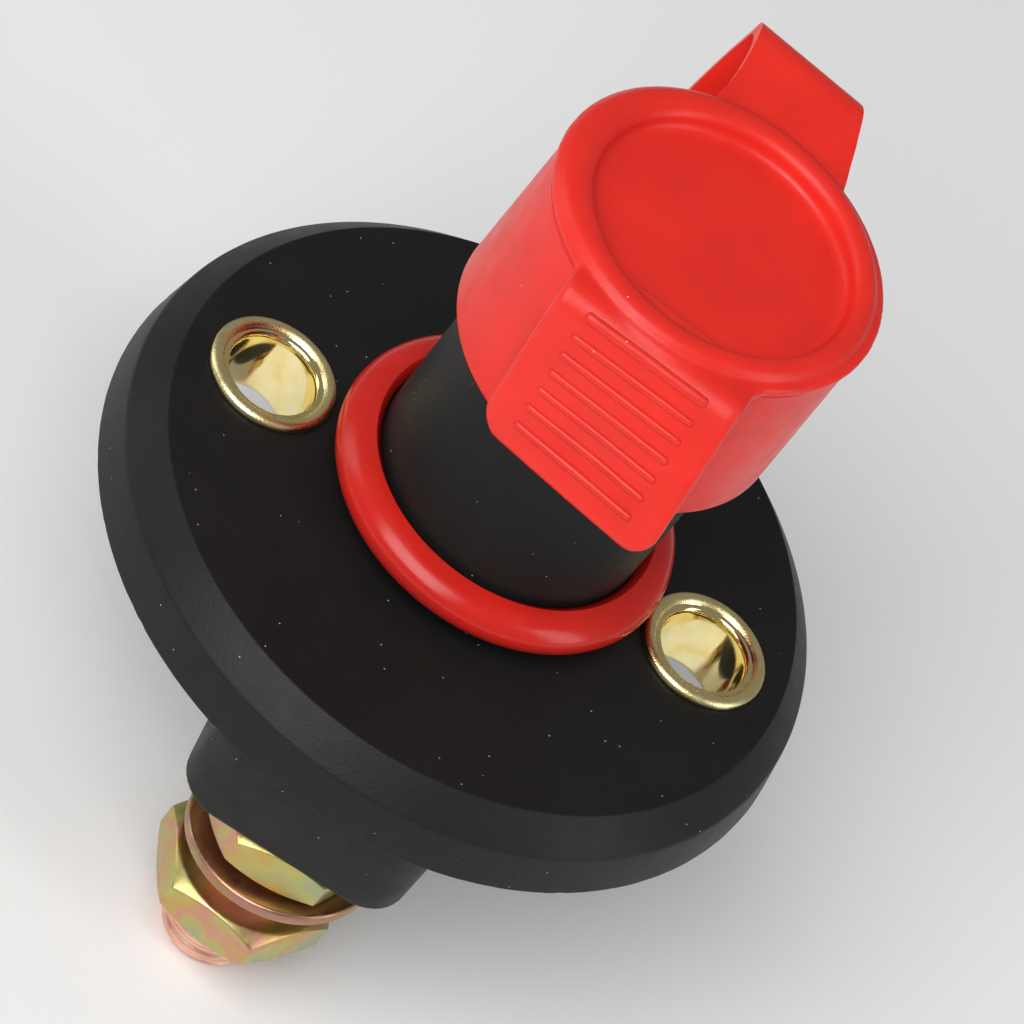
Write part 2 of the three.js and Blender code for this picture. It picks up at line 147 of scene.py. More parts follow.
class Finish:
    """A procedural material. Sizes are in millimetres, on the piece's own coordinates."""

    def __init__(self, name, color, roughness, metallic=0.0):
        self.material = bpy.data.materials.new(name)
        self.material.use_nodes = True
        self.nodes = self.material.node_tree.nodes
        self.links = self.material.node_tree.links
        self.shader = self.nodes["Principled BSDF"]
        self.place = self.nodes.new("ShaderNodeTexCoord").outputs["Object"]
        self.put("Base Color", (*color, 1))
        self.put("Roughness", roughness)
        self.put("Metallic", metallic)
        self.normal = None

    def put(self, socket, value):
        if hasattr(value, "is_linked"):
            self.links.new(value, self.shader.inputs[socket])
        else:
            self.shader.inputs[socket].default_value = value

    def noise(self, size, detail=3, stretch=(1, 1, 1), rough=0.5):
        """Noise with features of about this size, stretched along the axes."""
        mapping = self.nodes.new("ShaderNodeMapping")
        mapping.inputs["Scale"].default_value = tuple(1 / s for s in stretch)
        self.links.new(self.place, mapping.inputs["Vector"])
        node = self.nodes.new("ShaderNodeTexNoise")
        node.inputs["Scale"].default_value = 1 / (size * MM)
        node.inputs["Detail"].default_value = detail
        node.inputs["Roughness"].default_value = rough
        self.links.new(mapping.outputs["Vector"], node.inputs["Vector"])
        return node.outputs["Fac"]

    def specks(self, spacing, size, share):
        """1 inside small round specks: one to a cell of that spacing, in that share of the cells."""
        cells = self.nodes.new("ShaderNodeTexVoronoi")
        cells.inputs["Scale"].default_value = 1 / (spacing * MM)
        self.links.new(self.place, cells.inputs["Vector"])
        near = self.math("LESS_THAN", cells.outputs["Distance"], size / spacing)
        chance = self.nodes.new("ShaderNodeSeparateColor")
        self.links.new(cells.outputs["Color"], chance.inputs["Color"])
        some = self.math("LESS_THAN", chance.outputs["Red"], share)
        return self.math("MULTIPLY", near, some)

    def math(self, operation, a, b):
        node = self.nodes.new("ShaderNodeMath")
        node.operation = operation
        for socket, value in zip(node.inputs, (a, b)):
            if hasattr(value, "is_linked"):
                self.links.new(value, socket)
            else:
                socket.default_value = value
        return node.outputs[0]

    def spread(self, source, low, high, start=0.3, end=0.7):
        """Takes the source from start to end over to low to high."""
        node = self.nodes.new("ShaderNodeMapRange")
        for socket, value in zip(("From Min", "From Max", "To Min", "To Max"), (start, end, low, high)):
            node.inputs[socket].default_value = value
        self.links.new(source, node.inputs["Value"])
        return node.outputs["Result"]

    def height(self, low, high):
        """0 below the low height and 1 above the high one."""
        parts = self.nodes.new("ShaderNodeSeparateXYZ")
        self.links.new(self.place, parts.inputs["Vector"])
        return self.spread(parts.outputs["Z"], 0, 1, low * MM, high * MM)

    def ramp(self, source, stops):
        node = self.nodes.new("ShaderNodeValToRGB")
        marks = node.color_ramp.elements
        for mark, (position, color) in zip(marks, (stops[0], stops[-1])):
            mark.position = position
            mark.color = (*color, 1)
        for position, color in stops[1:-1]:
            marks.new(position).color = (*color, 1)
        self.links.new(source, node.inputs["Fac"])
        return node.outputs["Color"]

    def mix(self, mask, a, b):
        node = self.nodes.new("ShaderNodeMix")
        node.data_type = "RGBA"
        for name, value in (("Factor_Float", mask), ("A_Color", a), ("B_Color", b)):
            socket = next(s for s in node.inputs if s.identifier == name)
            if hasattr(value, "is_linked"):
                self.links.new(value, socket)
            else:
                socket.default_value = value if isinstance(value, float) else (*value, 1)
        return next(s for s in node.outputs if s.identifier == "Result_Color")

    def relief(self, source, height, strength=1.0):
        """Raises the surface by up to this height, over any relief already there."""
        node = self.nodes.new("ShaderNodeBump")
        node.inputs["Distance"].default_value = height * MM
        node.inputs["Strength"].default_value = strength
        self.links.new(source, node.inputs["Height"])
        if self.normal:
            self.links.new(self.normal, node.inputs["Normal"])
        self.normal = node.outputs["Normal"]
        self.links.new(self.normal, self.shader.inputs["Normal"])


def fit(piece, finish, body, slot, *nodes):
    """Gives the piece its finish, the body it rides on and the nodes it stands for."""
    piece.data.materials.clear()
    piece.data.materials.append(finish.material)
    if nodes:
        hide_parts(*nodes)
    if body:
        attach(piece, body)


def black_plastic(name, color, low, high, grain, dust_share):
    """Satin black moulded plastic: a fine grain, cloudy gloss, and a few specks of pale dust."""
    finish = Finish(name, color, 0.4)
    cloud = finish.noise(9, detail=4)
    fine = finish.noise(0.3, detail=2)
    base = finish.ramp(cloud, [(0.3, color), (0.7, tuple(c * 1.35 for c in color))])
    dust = finish.specks(1.4, 0.08, dust_share)
    finish.put("Base Color", finish.mix(dust, base, (0.36, 0.35, 0.34)))
    finish.put("Specular IOR Level", 0.27)
    finish.put("Roughness", finish.spread(finish.noise(2.6, detail=5), low, high))
    finish.relief(fine, grain)
    finish.relief(finish.noise(0.42, detail=3), grain * 0.35)
    finish.relief(finish.noise(1.7, detail=3), grain * 0.25)
    finish.relief(finish.specks(8.5, 0.22, 0.35), 0.05, -0.7)
    return finish


housing = turned("housing_moulding", eased(HOUSING_LINE), RIM_STEPS)
# The mould's parting edge runs round the foot of the rim. It is a little ragged, with a few small nicks.
ragged = random.Random(4)
nicks = {ragged.randrange(RIM_STEPS): ragged.uniform(0.03, 0.08) for _ in range(14)}
nicks.update(WORN_NICKS)
wander = [ragged.uniform(0, 0.025) + nicks.get(i, 0) for i in range(RIM_STEPS)]
for vertex in housing.data.vertices:
    r = math.hypot(vertex.co.x, vertex.co.y)
    if vertex.co.z < 0.5 * MM and r > 37.3 * MM:
        turn = math.atan2(vertex.co.y, vertex.co.x) / (2 * math.pi) % 1
        i = round(turn * RIM_STEPS) % RIM_STEPS
        inward = 1 - wander[i] * MM / r
        vertex.co.x *= inward
        vertex.co.y *= inward
for side in (-1, 1):
    boolean(housing, rod(SCREW_HOLE_R, -1, 9, side * EYELET_X))
smooth(housing)
housing_black = black_plastic("housing_black", (0.0080, 0.0075, 0.0073), 0.47, 0.53, 0.03, 0.42)
fit(housing, housing_black, "housing", "black_moulding", "flange_housing")

# ---- Contact block ----
# The black box under the panel that carries the two terminals. Its round plate lies in the flange's recess,
# and its long sides are drafted to leave the mould. The studs pass out through its floor.
BLOCK_TOP = (25.2, 66.8)
BLOCK_BOTTOM = (24.8, 66.4)
BLOCK_FLOOR = -13.7
BLOCK_CORNER = 5
PLATE_LINE = [(0, 0.02), (34.2, 0.02), (34.5, 0.3), (34.5, 2.9), (34.2, 3.2), (0, 3.2)]
CAVITY = (19, 62.5)
STUD_HOLE_R = 5.3
STUD_Y = 24


def slab(size, bottom, top, corner, segments=10):
    """An upright box with rounded corners, in millimetres."""
    bpy.ops.object.select_all(action="DESELECT")
    bpy.ops.mesh.primitive_cube_add(size=1, location=(0, 0, (bottom + top) / 2 * MM))
    piece = bpy.context.object
    piece.scale = (size[0] * MM, size[1] * MM, (top - bottom) * MM)
    bpy.ops.object.transform_apply(location=True, rotation=True, scale=True)
    select(piece, "edges", lambda a, b: abs(a.z - b.z) > 0.5 * (top - bottom) * MM)
    bpy.ops.mesh.bevel(offset=corner * MM, segments=segments, affect="EDGES")
    bpy.ops.object.mode_set(mode="OBJECT")
    return piece


def select(piece, kind, test):
    """Opens the piece in edit mode with just these vertices or edges selected."""
    only(piece)
    bpy.ops.object.mode_set(mode="EDIT")
    bpy.ops.mesh.select_mode(type="VERT" if kind == "verts" else "EDGE")
    bpy.ops.mesh.select_all(action="DESELECT")
    shape = bmesh.from_edit_mesh(piece.data)
    for part in getattr(shape, kind):
        if test(*([part.co] if kind == "verts" else [v.co for v in part.verts])):
            part.select_set(True)
    bmesh.update_edit_mesh(piece.data)


block = slab(BLOCK_TOP, BLOCK_FLOOR, 1, BLOCK_CORNER)
block.name = "block_moulding"
select(block, "verts", lambda v: v.z < 0)
draft = (BLOCK_BOTTOM[0] / BLOCK_TOP[0], BLOCK_BOTTOM[1] / BLOCK_TOP[1], 1)
bpy.ops.transform.resize(value=draft, center_override=(0, 0, 0))
bpy.ops.object.mode_set(mode="OBJECT")
select(block, "edges", lambda a, b: max(a.z, b.z) < BLOCK_FLOOR * MM * 0.999)
bpy.ops.mesh.bevel(offset=0.7 * MM, segments=4, affect="EDGES")
bpy.ops.object.mode_set(mode="OBJECT")
boolean(block, turned("block_plate", PLATE_LINE, 128), "UNION")
boolean(block, slab(CAVITY, -10, 4.5, 2, 5))
for side in (-1, 1):
    boolean(block, rod(STUD_HOLE_R, -15, 0, 0, side * STUD_Y, 64))
    boolean(block, rod(SCREW_HOLE_R, -1, 4, side * EYELET_X, 0, 64))
    boolean(block, rod(6.9, -1, 1, side * EYELET_X, 0, 64))
smooth(block)
block_black = black_plastic("block_black", (0.0090, 0.0087, 0.0084), 0.50, 0.62, 0.022, 0.4)
fit(block, block_black, "housing", "contact_block", "contact_block")

# ---- Mounting eyelets ----
# Two brass tubes, rolled over at both ends. They rivet the flange to the block and take the panel screws.
# Each rim is a full round roll, left granular by the tool, with a thin bright lip at the bore.
EYELET_LINE = [
    # radius and height, up the outer roll, over it, down the bore and round the lower roll
    (5.1, 8.1), (6.75, 8.1), (6.8, 8.2), (6.78, 8.38), (6.7, 8.56), (6.55, 8.74), (6.36, 8.87),
    (6.12, 8.94), (5.9, 8.94), (5.7, 8.88), (5.52, 8.76), (5.38, 8.6), (5.28, 8.5), (5.16, 8.48),
    (5.04, 8.5), (4.93, 8.46), (4.8, 8.36), (4.7, 8.2), (4.63, 8.0), (4.6, 7.7), (4.6, 0.9), (4.66, 0.5),
    (4.85, 0.2), (5.3, 0.1), (6.2, 0.1), (6.45, 0.3), (6.5, 0.85), (5.1, 0.85), (5.1, 8.1),
]


def brass():
    """Brass: a granular satin roll above, a polished bore below, and small stains."""
    finish = Finish("eyelet_brass", (0.78, 0.60, 0.27), 0.12, 1.0)
    drag = finish.noise(0.16, detail=3)
    patch = finish.noise(2.1, detail=3)
    tone = finish.ramp(patch, [
        (0.3, (0.97, 0.86, 0.47)), (0.55, (0.95, 0.80, 0.38)), (0.8, (0.90, 0.68, 0.25))])
    finish.put("Base Color", tone)
    roll = finish.height(8.5, 8.62)
    dull = finish.spread(finish.noise(0.5, detail=3), 0.24, 0.36)
    bright = finish.spread(patch, 0.07, 0.14, 0.35, 0.75)
    finish.put("Roughness", finish.math("MAXIMUM", finish.math("MULTIPLY", dull, roll), bright))
    finish.relief(finish.math("MULTIPLY", drag, roll), 0.03)
    return finish


eyelet_brass = brass()
for place, side in (("left", -1), ("right", 1)):
    eyelet = turned(f"eyelet_{place}", EYELET_LINE, 128)
    eyelet.location.x = side * EYELET_X * MM
    smooth(eyelet, 60)
    fit(eyelet, eyelet_brass, "housing", "brass_eyelet", f"mounting_eyelet_{place}")

# ---- Terminal studs ----
# Two M10 copper studs, with a square head that is the fixed contact inside the block. The thread is rolled
# with rounded crests, and the end is chamfered.
STUD_R = 5
STUD_END = -38.3
STUD_TOP = -9.9
THREAD_PITCH = 1.5
THREAD_DEPTH = 0.36
THREAD_START = -19.5
RING_STEP = 0.16
HEAD_SIDE = 13
HEAD_TOP = -5


def stud(name, y):
    rings = int((STUD_TOP - STUD_END) / RING_STEP)
    line = [(0, STUD_END), (STUD_R - 1.3, STUD_END), (STUD_R - 0.9, STUD_END + 0.15)]
    line += [(STUD_R, STUD_END + 0.9 + i * RING_STEP) for i in range(rings - 5)]
    line += [(STUD_R, STUD_TOP), (0, STUD_TOP)]
    shank = turned(name, line, 80)
    for vertex in shank.data.vertices:
        r = math.hypot(vertex.co.x, vertex.co.y) / MM
        z = vertex.co.z / MM
        if r < STUD_R - 0.01:
            continue
        wave = (z / THREAD_PITCH - math.atan2(vertex.co.y, vertex.co.x) / (2 * math.pi)) % 1
        groove = 0.5 - 0.5 * math.cos(2 * math.pi * wave)
        run_out = min(max((THREAD_START - z) / 2, 0), 1)
        shrink = 1 - THREAD_DEPTH * groove ** 0.8 * run_out / STUD_R
        vertex.co.x *= shrink
        vertex.co.y *= shrink
    head = slab((HEAD_SIDE, HEAD_SIDE), STUD_TOP - 0.05, HEAD_TOP, 1, 4)
    select(head, "edges", lambda a, b: min(a.z, b.z) > (HEAD_TOP - 0.01) * MM)
    bpy.ops.mesh.bevel(offset=0.4 * MM, segments=3, affect="EDGES")
    bpy.ops.object.mode_set(mode="OBJECT")
    only(shank)
    head.select_set(True)
    bpy.ops.object.join()
    shank.location.y = y * MM
    smooth(shank, 40)
    return shank


def copper():
    """Bright copper, with turning marks round the shank and darker tarnish in patches."""
    finish = Finish("stud_copper", (0.86, 0.47, 0.33), 0.28, 1.0)
    patch = finish.noise(2.4, detail=4)
    marks = finish.noise(0.5, detail=3, stretch=(8, 8, 0.5))
    finish.put("Base Color", finish.ramp(patch, [
        (0.3, (0.95, 0.62, 0.48)), (0.5, (0.92, 0.54, 0.40)), (0.75, (0.80, 0.42, 0.29))]))
    finish.put("Roughness", finish.spread(finish.noise(0.9, detail=4), 0.3, 0.5))
    finish.relief(marks, 0.02)
    return finish


stud_copper = copper()
for place, side in (("front", -1), ("rear", 1)):
    piece = stud(f"stud_{place}", side * STUD_Y)
    fit(piece, stud_copper, "housing", "copper", f"terminal_stud_{place}")

# ---- Seat nuts and terminal nuts ----
# Hexagon nuts, 17 mm across flats, zinc plated and passivated yellow, so they shimmer from gold to green and
# pink. A seat nut stands against the block, and the terminal nut below it clamps the washer and cable lug.
NUT_FLATS = 17
NUT_HEIGHT = 5
NUT_FACE_R = 8.2
NUT_CHAMFER = 33
NUT_BORE_R = 5.3
SEAT_NUT_TOP = -13.95
TERMINAL_NUT_TOP = -25.8
NUT_TURN = {"front": (35.2, 21.4), "rear": (12, 44)}


def nut(name, top, y, turn):
    """A hexagon nut with both faces chamfered. Turn is in degrees, from where a corner points along Y."""
    bottom = top - NUT_HEIGHT
    corner_r = NUT_FLATS / math.sqrt(3)
    drop = (corner_r - NUT_FACE_R) * math.tan(math.radians(NUT_CHAMFER))
    bpy.ops.object.select_all(action="DESELECT")
    bpy.ops.mesh.primitive_cylinder_add(vertices=6, radius=corner_r * MM, depth=NUT_HEIGHT * MM)
    piece = bpy.context.object
    piece.name = name
    piece.rotation_euler.z = math.radians(turn)
    piece.location.z = (top + bottom) / 2 * MM
    bpy.ops.object.transform_apply(location=True, rotation=True, scale=True)
    over = corner_r + 0.3
    cone = turned("nut_chamfer", [
        (NUT_BORE_R, bottom + 0.6), (5.9, bottom), (NUT_FACE_R, bottom), (over, bottom + drop + 0.23),
        (over, top - drop - 0.23), (NUT_FACE_R, top), (5.9, top), (NUT_BORE_R, top - 0.6),
        (NUT_BORE_R, bottom + 0.6)], 96)
    boolean(piece, cone, "INTERSECT")
    bevel = piece.modifiers.new("edges", "BEVEL")
    bevel.width = 0.24 * MM
    bevel.segments = 3
    bevel.limit_method = "ANGLE"
    bevel.angle_limit = math.radians(24)
    settle(piece)
    piece.location.y = y * MM
    smooth(piece, 20)
    return piece


def yellow_zinc(name, tints):
    """Yellow-passivated zinc plate: drifting bands of tints, fine pits and a granular sheen."""
    finish = Finish(name, tints[0][1], 0.26, 1.0)
    bands = finish.ramp(finish.noise(7.5, detail=2, rough=0.5), tints)
    blotch = finish.spread(finish.noise(1.6, detail=3), 0.0, 0.35, 0.5, 0.75)
    tone = finish.mix(blotch, bands, (0.56, 0.38, 0.20))
    pits = finish.specks(1.3, 0.08, 0.2)
    finish.put("Base Color", finish.mix(pits, tone, (0.22, 0.16, 0.09)))
    finish.put("Roughness", finish.spread(finish.noise(0.7, detail=3), 0.3, 0.44))
    finish.relief(finish.noise(0.2, detail=3), 0.012)
    finish.relief(finish.noise(1.4, detail=2), 0.012)
    return finish


plated_yellow = yellow_zinc("plated_yellow", [
    (0.34, (0.40, 0.45, 0.24)), (0.44, (0.55, 0.50, 0.17)), (0.50, (0.60, 0.42, 0.13)),
    (0.56, (0.66, 0.33, 0.24)), (0.62, (0.56, 0.46, 0.17)), (0.72, (0.40, 0.46, 0.27))])
for place, side in (("front", -1), ("rear", 1)):
    seat_turn, terminal_turn = NUT_TURN[place]
    seat = nut(f"nut_seat_{place}", SEAT_NUT_TOP, side * STUD_Y, seat_turn)
    fit(seat, plated_yellow, "housing", "yellow_zinc", f"seat_nut_{place}")
    lower = nut(f"nut_terminal_{place}", TERMINAL_NUT_TOP, side * STUD_Y, terminal_turn)
    fit(lower, plated_yellow, "housing", "yellow_zinc", f"terminal_nut_{place}")

# ---- Flat washers ----
# Stamped M10 washers, plated as the nuts are but browner. The front one hangs tilted against the seat nut,
# and the rear one lies on its terminal nut. The punch leaves one edge more rounded than the other.
WASHER_LINE = [(5.9, -0.8, 0.12), (10, -0.8, 0.7), (10, 0.8, 0.5), (5.9, 0.8, 0.3)]
WASHERS = {"front": (0.7, -21, 8), "rear": (0.2, TERMINAL_NUT_TOP + 1.1, 0)}

# The washers' plating is the nuts' zinc painted darker and browner: painted reflection of the dark underside
# above their tops.
plated_brown_painted_reflection = yellow_zinc("plated_brown_painted_reflection", [
    (0.34, (0.40, 0.34, 0.16)), (0.46, (0.42, 0.24, 0.13)),
    (0.56, (0.46, 0.22, 0.18)), (0.68, (0.44, 0.38, 0.17))])
for place, side in (("front", -1), ("rear", 1)):
    x, z, lean = WASHERS[place]
    washer = turned(f"washer_{place}", eased(WASHER_LINE, 4), 128)
    tilt = Matrix.Rotation(math.radians(-10), 4, "Z") @ Matrix.Rotation(math.radians(-lean), 4, "Y")
    washer.matrix_world = Matrix.Translation((x * MM, side * STUD_Y * MM, z * MM)) @ tilt
    smooth(washer)
    fit(washer, plated_brown_painted_reflection, "housing", "yellow_zinc", f"flat_washer_{place}")

# ---- Parts inside the barrel and block ----
# The key rotor and its O-ring, the plunger that its cam pushes down, and the copper bridge with its clip.
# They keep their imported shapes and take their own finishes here.
rotor_red = Finish("rotor_nylon", (0.42, 0.012, 0.010), 0.4)
rotor_red.put("Base Color", rotor_red.ramp(rotor_red.noise(4, detail=3), [
    (0.3, (0.40, 0.011, 0.009)), (0.7, (0.50, 0.016, 0.013))]))
rotor_red.put("Roughness", rotor_red.spread(rotor_red.noise(0.8), 0.32, 0.48))
rotor_red.relief(rotor_red.noise(0.2), 0.01)

seal_black = Finish("seal_rubber", (0.014, 0.014, 0.014), 0.75)
seal_black.put("Roughness", seal_black.spread(seal_black.noise(0.7), 0.62, 0.85))
seal_black.relief(seal_black.noise(0.15), 0.01)

plunger_black = black_plastic("plunger_acetal", (0.018, 0.018, 0.020), 0.30, 0.42, 0.008, 0.0)

spring_steel = Finish("spring_wire", (0.56, 0.56, 0.55), 0.25, 1.0)
spring_steel.put("Base Color", spring_steel.ramp(spring_steel.noise(1.5), [
    (0.3, (0.60, 0.60, 0.59)), (0.7, (0.48, 0.47, 0.45))]))
spring_steel.put("Roughness", spring_steel.spread(spring_steel.noise(0.4), 0.18, 0.36))
spring_steel.relief(spring_steel.noise(0.12), 0.005)

INSIDE = {
    "key_rotor": rotor_red, "rotor_seal": seal_black, "cam_plunger": plunger_black,
    "contact_bridge": stud_copper, "bridge_retainer": spring_steel,
}
for name, finish in INSIDE.items():
    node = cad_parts[name]
    node.data.materials.clear()
    node.data.materials.append(finish.material)

# ---- Springs ----
# Two coils of bright round wire. The conical one stands in the block and pushes the plunger back up, and the
# straight one presses the bridge on the plunger.
COILS = {
    # lower radius, upper radius, wire radius, bottom, top, turns
    "return": (7.4, 5.6, 0.5, -9.85, -4.45, 2.5),
    "contact": (6.4, 6.4, 0.75, 0.35, 9.05, 4),
}


def coil(name, low_r, top_r, wire_r, bottom, top, turns):
    """A helix of round wire with square ends: a flat grid is rolled into a tube along the helix."""
    bpy.ops.object.select_all(action="DESELECT")
    bpy.ops.mesh.primitive_grid_add(x_subdivisions=14, y_subdivisions=int(turns * 48), size=1)
    piece = bpy.context.object
    piece.name = name
    for vertex in piece.data.vertices:
        part = vertex.co.y + 0.5
        angle = part * turns * 2 * math.pi
        round_wire = (vertex.co.x + 0.5) * 2 * math.pi
        r = low_r + (top_r - low_r) * part + wire_r * math.cos(round_wire)
        z = bottom + wire_r + (top - bottom - 2 * wire_r) * part + wire_r * math.sin(round_wire)
        vertex.co = Vector((r * math.cos(angle), r * math.sin(angle), z)) * MM
    only(piece)
    bpy.ops.object.mode_set(mode="EDIT")
    bpy.ops.mesh.select_all(action="SELECT")
    bpy.ops.mesh.remove_doubles(threshold=1e-6)
    bpy.ops.mesh.fill_holes(sides=20)
    bpy.ops.mesh.select_all(action="SELECT")
    bpy.ops.mesh.normals_make_consistent(inside=False)
    bpy.ops.object.mode_set(mode="OBJECT")
    smooth(piece, 50)
    return piece


for name, lower, upper in (("return", "housing", "plunger"), ("contact", "bridge", "plunger")):
    spring = coil(f"{name}_coil", *COILS[name])
    fit(spring, spring_steel, None, "spring_steel", f"{name}_spring")
    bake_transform(spring)

# ---- Tether ring ----
# The soft red ring that holds the tether round the foot of the barrel. It is moulded with a full round
# section and grips by its own stretch.
RING_MIDDLE = 11.9
RING_HALF = 2.58
RING_INNER = 14.5
RING_REACH = 3.75


def red_vinyl(name, color, low, high, streaks):
    """Soft red vinyl: light passes a little way in, the gloss is cloudy, and the mould may leave streaks."""
    finish = Finish(name, color, 0.35)
    cloud = finish.noise(7, detail=3)
    tone = finish.ramp(cloud, [
        (0.3, tuple(c * 0.93 for c in color)), (0.7, tuple(min(c * 1.05, 0.95) for c in color))])
    dust = finish.specks(1.9, 0.08, 0.3)
    finish.put("Base Color", finish.mix(dust, tone, (0.85, 0.45, 0.40)))
    finish.put("Specular IOR Level", 0.35)
    finish.put("Subsurface Weight", 0.18)
    finish.put("Subsurface Radius", (1.0, 0.12, 0.06))
    finish.put("Subsurface Scale", 1.6 * MM)
    finish.put("Roughness", finish.spread(finish.noise(2.2, detail=4), low, high))
    finish.relief(finish.noise(0.35, detail=2), 0.006)
    if streaks:
        finish.relief(finish.noise(0.45, detail=2, stretch=(0.6, 0.6, 22)), 0.02)
    return finish


ring_line = [(RING_INNER, RING_MIDDLE - RING_HALF + 0.7)]
for k in range(17):
    angle = math.radians(-80 + 10 * k)
    r = RING_INNER + 0.1 + (RING_REACH - 0.1) * math.cos(angle)
    ring_line.append((r, RING_MIDDLE + RING_HALF * math.sin(angle)))
ring_line += [(RING_INNER, RING_MIDDLE + RING_HALF - 0.7), ring_line[0]]
ring = turned("ring_moulding", ring_line, 160)
smooth(ring, 50)
# The ring's red is a darker copy of the cap's and strap's vinyl: the darkening is painted shade.
ring_red_painted_shade = red_vinyl("ring_vinyl_painted_shade", (0.60, 0.018, 0.011), 0.18, 0.28, False)
fit(ring, ring_red_painted_shade, "housing", "red_soft_plastic", "tether_ring")

# ---- Sealing cap ----
# A soft red cap pushed over the barrel. A thick rounded rim stands on its thin brim and leaves a flat dish.
# A ribbed pull tab, moulded in one with the brim, hangs down at the front.
CAP_TURN = -5.5
CAP_ASIDE = 0.25
BRIM_TOP = 55.1
BRIM_R = 17.4
CAP_WALL = [
    (0, 52, 0), (14.9, 52, 0.6), (14.9, 34.4, 0.35), (17.2, 34.4, 0.45), (16.92, 53.4, 0), (0, 53.4, 0),
]
BRIM_LINE = [
    (0, 52.6), (16.8, 52.6), (16.9, 53.85), (17.2, 54.05), (BRIM_R, 54.3), (BRIM_R, 54.85),
    (17.15, BRIM_TOP), (17.0, BRIM_TOP), (16.86, BRIM_TOP + 0.02),
]
RIM_MIDDLE = (15.2, 54.95)
RIM_HALF = 1.55
RIM_HEIGHT = 1.2
RIM_ASIDE = {"outer": -0.4, "inner": 0.24}
DISH_Z = 53.9
TAB_WIDTH = 20.2
TAB_LENGTH = 20
TAB_THICK = 1.5
TAB_CORNER = 3
TAB_ROOT = 14.2
TAB_FLAT = 1.75
TAB_BEND = 2.2
TAB_FLARE = 18
TAB_TWIST = 0.71
TAB_EDGE = 0.75
THUMB_DEPTH = 0.3
THUMB_Y = 15
TAB_LEAN = 0.076
ROOT_FILLET = 1.6


def tab_place(x, y, z):
    """Where a point of the flat tab goes once it has turned down: y is 0 at the root, negative outwards."""
    z -= THUMB_DEPTH * math.exp(-((x - 0.5) / 5) ** 2 - ((y + THUMB_Y) / 2.6) ** 2)
    most = math.radians(90 - TAB_FLARE - TAB_TWIST * x)
    along = -y - TAB_FLAT
    turn = min(max(along / TAB_BEND, 0), most)
    beyond = max(along - most * TAB_BEND, 0)
    out = TAB_ROOT + TAB_FLAT + min(along, 0) + (TAB_BEND + z) * math.sin(turn) + beyond * math.cos(turn)
    up = BRIM_TOP - TAB_THICK / 2 - TAB_BEND + (TAB_BEND + z) * math.cos(turn) - beyond * math.sin(turn)
    return Vector((x + 0.5 + TAB_LEAN * beyond, -out, up)) * MM


def tab_half(y):
    """Half the tab's width at a distance along it, with round lower corners and fillets at the brim."""
    half = TAB_WIDTH / 2
    left = TAB_LENGTH + y
    if left < TAB_CORNER:
        return half - TAB_CORNER + math.sqrt(max(TAB_CORNER ** 2 - (TAB_CORNER - left) ** 2, 0))
    centre_x = half + ROOT_FILLET
    centre_y = TAB_ROOT - math.sqrt((17.4 + ROOT_FILLET) ** 2 - centre_x ** 2)
    if y > centre_y:
        side = min(y - centre_y, ROOT_FILLET * 0.78)
        return centre_x - math.sqrt(ROOT_FILLET ** 2 - side ** 2)
    return half


rim_line = []
for k in range(19):
    angle = math.radians(4 + 172 / 18 * k)
    r = RIM_MIDDLE[0] + RIM_HALF * math.cos(angle)
    rim_line.append((r, RIM_MIDDLE[1] + RIM_HEIGHT * math.sin(angle)))
inner_r = rim_line[-1][0]
dish_line = [
    (inner_r - 0.03, 54.75), (inner_r - 0.12, 54.45), (inner_r - 0.28, 54.2), (inner_r - 0.5, 54.03),
    (inner_r - 0.8, 53.93), (inner_r - 1.2, DISH_Z), (0, DISH_Z),
]
cap = turned("cap_moulding", BRIM_LINE + rim_line + dish_line, 160)
# The rim is wider on one side than the other: its outer edge leans one way and its inner edge the other. The
# lean fades out at the brim's edge, which stays round.
for vertex in cap.data.vertices:
    r = math.hypot(vertex.co.x, vertex.co.y) / MM
    z = vertex.co.z / MM
    if 12 < r < BRIM_R and z > (DISH_Z - 0.01 if r < 16.8 else 54.9):
        part = min(max((r - inner_r) / (2 * RIM_HALF), 0), 1)
        fade = min((BRIM_R - r) / 0.65, 1)
        vertex.co.x += (RIM_ASIDE["inner"] + (RIM_ASIDE["outer"] - RIM_ASIDE["inner"]) * part) * fade * MM

bpy.ops.object.select_all(action="DESELECT")
bpy.ops.mesh.primitive_grid_add(x_subdivisions=96, y_subdivisions=110, size=1)
tab = bpy.context.object
wall = tab.modifiers.new("wall", "SOLIDIFY")
wall.thickness = TAB_THICK * MM
wall.offset = 0
settle(tab)
for vertex in tab.data.vertices:
    # Across and along go from -0.5 to 0.5. The tab thins to nothing at its edge, in a quarter round.
    across, along, face = vertex.co
    y = 2.2 - (0.5 - min(max(along, -0.5), 0.5)) * (TAB_LENGTH + 2.2)
    half = tab_half(y)
    x = min(max(across * 2, -1), 1) * half
    inside = min(half - abs(x), TAB_LENGTH + y, TAB_EDGE) / TAB_EDGE
    thick = TAB_THICK / 2 * math.sqrt(max(1 - (1 - inside) ** 2, 0))
    vertex.co = tab_place(x, y, math.copysign(thick, face) + 0.012)
only(tab)
bpy.ops.object.mode_set(mode="EDIT")
bpy.ops.mesh.select_all(action="SELECT")
bpy.ops.mesh.remove_doubles(threshold=1e-6)
bpy.ops.mesh.normals_make_consistent(inside=False)
bpy.ops.object.mode_set(mode="OBJECT")
boolean(cap, tab, "UNION")
even = cap.modifiers.new("even", "REMESH")
even.mode = "VOXEL"
even.voxel_size = 0.22 * MM
soft = cap.modifiers.new("soft", "SMOOTH")
soft.iterations = 9
settle(cap)
boolean(cap, turned("cap_wall", eased(CAP_WALL, closed=False), 160), "UNION")

RIB_COUNT = 7
RIB_PITCH = 2.2
RIB_FIRST = 3.85
RIB_LENGTH = 13.8
RIB_R = 0.44


